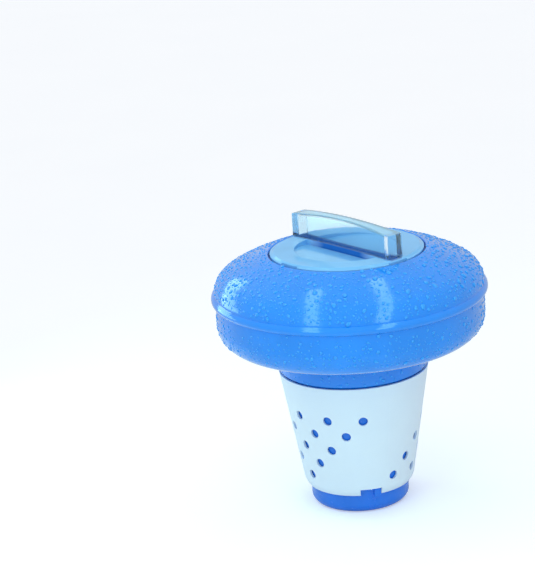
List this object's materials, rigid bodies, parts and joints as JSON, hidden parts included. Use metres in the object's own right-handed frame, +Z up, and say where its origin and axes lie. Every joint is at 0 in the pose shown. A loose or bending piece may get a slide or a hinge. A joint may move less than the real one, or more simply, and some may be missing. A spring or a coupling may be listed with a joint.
{
  "type": "floating chlorine dispenser",
  "caption": "Round pool float carrying a perforated tablet cup, with a turning sleeve that opens or shuts its holes and a clear twist lid with a grip.",
  "frame": {"origin": "centre of the base's underside", "axes": "+Z up along the turning axis of the sleeve and the lid, -Y to the front, +X to the right seen from the front"},
  "size_m": [0.165, 0.165, 0.1762],
  "materials": {
    "float_blue": "glossy moulded blue",
    "throat_blue": "satin moulded blue",
    "cup_blue": "glossy moulded deeper blue",
    "sleeve_white": "satin moulded cool white",
    "lid_clear": "clear moulded with a pale blue tint",
    "seal_grey": "matte soft ring"
  },
  "bodies": {
    "float_and_cup": {"upper_float_shell": "float_blue", "lower_float_shell": "float_blue", "throat_tube": "throat_blue", "lid_lock_ring": "throat_blue", "tablet_cup": "cup_blue"},
    "dose_sleeve": {"dose_sleeve": "sleeve_white"},
    "lid_seal": {"lid_seal": "seal_grey"},
    "lid": {"lid": "lid_clear"}
  },
  "joints": [
    {"name": "sleeve_turn", "type": "hinge", "parent": "float_and_cup", "child": "dose_sleeve", "pos_m": [0, 0, 0.05], "axis": [0, 0, 1], "range_deg": [0, 15]},
    {"name": "lid_lift", "type": "slide", "parent": "float_and_cup", "child": "lid_seal", "axis": [0, 0, 1], "range_m": [0, 0.09]},
    {"name": "lid_turn", "type": "hinge", "parent": "lid_seal", "child": "lid", "pos_m": [0, 0, 0.155], "axis": [0, 0, 1], "range_deg": [-40, 0]}
  ]
}
